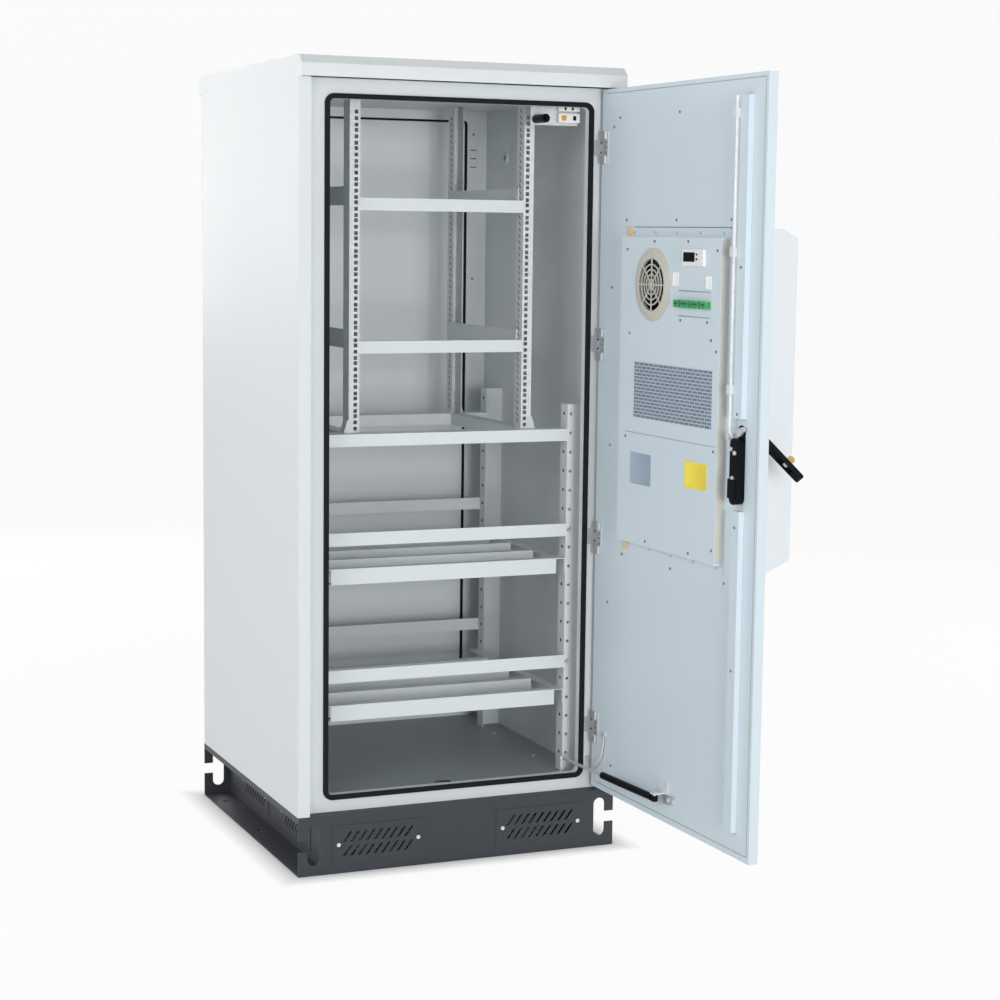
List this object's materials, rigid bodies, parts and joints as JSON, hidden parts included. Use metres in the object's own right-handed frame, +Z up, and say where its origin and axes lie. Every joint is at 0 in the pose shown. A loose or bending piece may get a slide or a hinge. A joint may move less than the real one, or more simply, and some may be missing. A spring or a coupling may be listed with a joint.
{
  "type": "roadside utility cabinet",
  "caption": "Tall outdoor equipment cabinet on a plinth, its cooled door held open by a stay, with a rack above battery shelves.",
  "frame": {"origin": "centre of the rectangle of four anchor bolts, on the plane that the plinth stands on", "axes": "+Z up, +X to the right seen from the door side, +Y to the rear"},
  "size_m": [1.0013, 1.6827, 2.008],
  "materials": {
    "paint_light_grey": "satin powder coat",
    "paint_door_inside": "satin powder coat",
    "paint_olive_grey": "satin powder coat",
    "paint_dark_grey": "satin powder coat",
    "galvanised": "zinc",
    "bright_steel": "polished",
    "brass": "satin",
    "black_rubber": "matte",
    "black_plastic": "matte",
    "grey_beige_plastic": "matte",
    "white_plastic": "gloss",
    "green_plastic": "gloss",
    "wire_cover": "gloss"
  },
  "bodies": {
    "cabinet": {"plinth": "paint_dark_grey", "plinth_vent_plates": "paint_dark_grey", "left_side_panel": "paint_light_grey", "right_side_panel": "paint_light_grey", "front_frame": "paint_light_grey", "rear_frame": "paint_light_grey", "front_gasket": "black_rubber", "rear_gasket": "black_rubber", "rear_panel": "paint_light_grey", "floor_pan": "paint_olive_grey", "ceiling_panel": "paint_light_grey", "roof_cap": "paint_light_grey", "battery_shelf_upper": "paint_light_grey", "battery_shelf_lower": "paint_light_grey", "battery_retaining_bars": "paint_light_grey", "rack_base_frame": "paint_light_grey", "rack_cross_beams": "paint_light_grey", "rack_side_rails": "paint_light_grey", "rack_foot_brackets": "galvanised", "frame_bolts": "bright_steel", "terminal_bracket": "galvanised", "terminal_blocks": "white_plastic", "door_switch_body": "black_plastic", "hinge_frame_leaves": "bright_steel", "hinge_pins": "bright_steel", "stay_frame_bracket": "galvanised", "earth_wire": "wire_cover", "lower_post_front_left": "paint_light_grey", "lower_post_front_right": "paint_light_grey", "lower_post_rear_left": "paint_light_grey", "lower_post_rear_right": "paint_light_grey", "rack_post_front_left": "galvanised", "rack_post_front_right": "galvanised", "rack_post_rear_left": "galvanised", "rack_post_rear_right": "galvanised"},
    "door": {"door_panel": "paint_door_inside", "door_stiffeners": "paint_door_inside", "hinge_door_leaves": "bright_steel", "ac_outer_housing": "paint_light_grey", "ac_inner_cover": "paint_door_inside", "fan_guard": "grey_beige_plastic", "fan_motor": "black_plastic", "controller": "white_plastic", "ac_terminal_strip": "green_plastic", "door_screws": "bright_steel", "lock_housing": "black_plastic", "rod_guides": "galvanised", "stay_door_bracket": "galvanised"},
    "plunger": {"door_switch_plunger": "black_plastic"},
    "fan": {"fan_rotor": "black_plastic"},
    "button_up": {"controller_button_up": "white_plastic"},
    "button_down": {"controller_button_down": "white_plastic"},
    "lock_turn": {"handle_hub": "black_plastic", "lock_crank": "galvanised"},
    "rod": {"latch_rod": "bright_steel"},
    "handle": {"swing_handle": "black_plastic"},
    "key": {"key_cylinder": "bright_steel", "door_key": "brass"},
    "stay_tube": {"stay_tube": "black_plastic"},
    "stay_rod": {"stay_rod": "bright_steel"}
  },
  "joints": [
    {"name": "door_hinge", "type": "hinge", "parent": "cabinet", "child": "door", "pos_m": [0.3915, -0.422, 1.057], "axis": [0, 0, 1], "range_deg": [-91.5, 13.5], "deforming": ["earth_wire"]},
    {"name": "lock_turn", "type": "hinge", "parent": "door", "child": "lock_turn", "pos_m": [0.41919, -1.13552, 1.15], "axis": [0.9997, 0.0262, 0], "range_deg": [0, 30]},
    {"name": "handle_lift", "type": "hinge", "parent": "lock_turn", "child": "handle", "pos_m": [0.42718, -1.13531, 1.15], "axis": [0.0227, -0.8657, 0.5], "range_deg": [-35, 36]},
    {"name": "key_turn", "type": "hinge", "parent": "handle", "child": "key", "pos_m": [0.48676, -1.17554, 1.07764], "axis": [0.8114, 0.3081, 0.4967], "range_deg": [0, 90]},
    {"name": "rod_slide", "type": "slide", "parent": "door", "child": "rod", "axis": [0, 0, 1], "range_m": [-0.0002, 0.01435]},
    {"name": "fan_spin", "type": "hinge", "parent": "door", "child": "fan", "pos_m": [0.37494, -0.74454, 1.473], "axis": [-0.9997, -0.0262, 0], "continuous": true},
    {"name": "button_up_press", "type": "slide", "parent": "door", "child": "button_up", "axis": [0.9997, 0.0262, 0], "range_m": [0, 0.001], "stiffness_N_per_m": 300},
    {"name": "button_down_press", "type": "slide", "parent": "door", "child": "button_down", "axis": [0.9997, 0.0262, 0], "range_m": [0, 0.001], "stiffness_N_per_m": 300},
    {"name": "stay_swivel", "type": "hinge", "parent": "door", "child": "stay_tube", "pos_m": [0.35959, -0.80797, 0.222], "axis": [0, 0, 1], "range_deg": [-0.6, 3.3]},
    {"name": "stay_stroke", "type": "slide", "parent": "stay_tube", "child": "stay_rod", "axis": [-0.0809, 0.9967, 0], "range_m": [-0.1475, 0.022]},
    {"name": "switch_press", "type": "slide", "parent": "cabinet", "child": "plunger", "axis": [0, 1, 0], "range_m": [0, 0.006], "stiffness_N_per_m": 200}
  ],
  "couplings": [
    {"joint": "rod_slide", "follows": "lock_turn", "m_per_rad": 0.027025},
    {"joint": "stay_swivel", "follows": "door_hinge", "ratio": -0.034842},
    {"joint": "stay_stroke", "follows": "door_hinge", "m_per_rad": 0.092084}
  ]
}
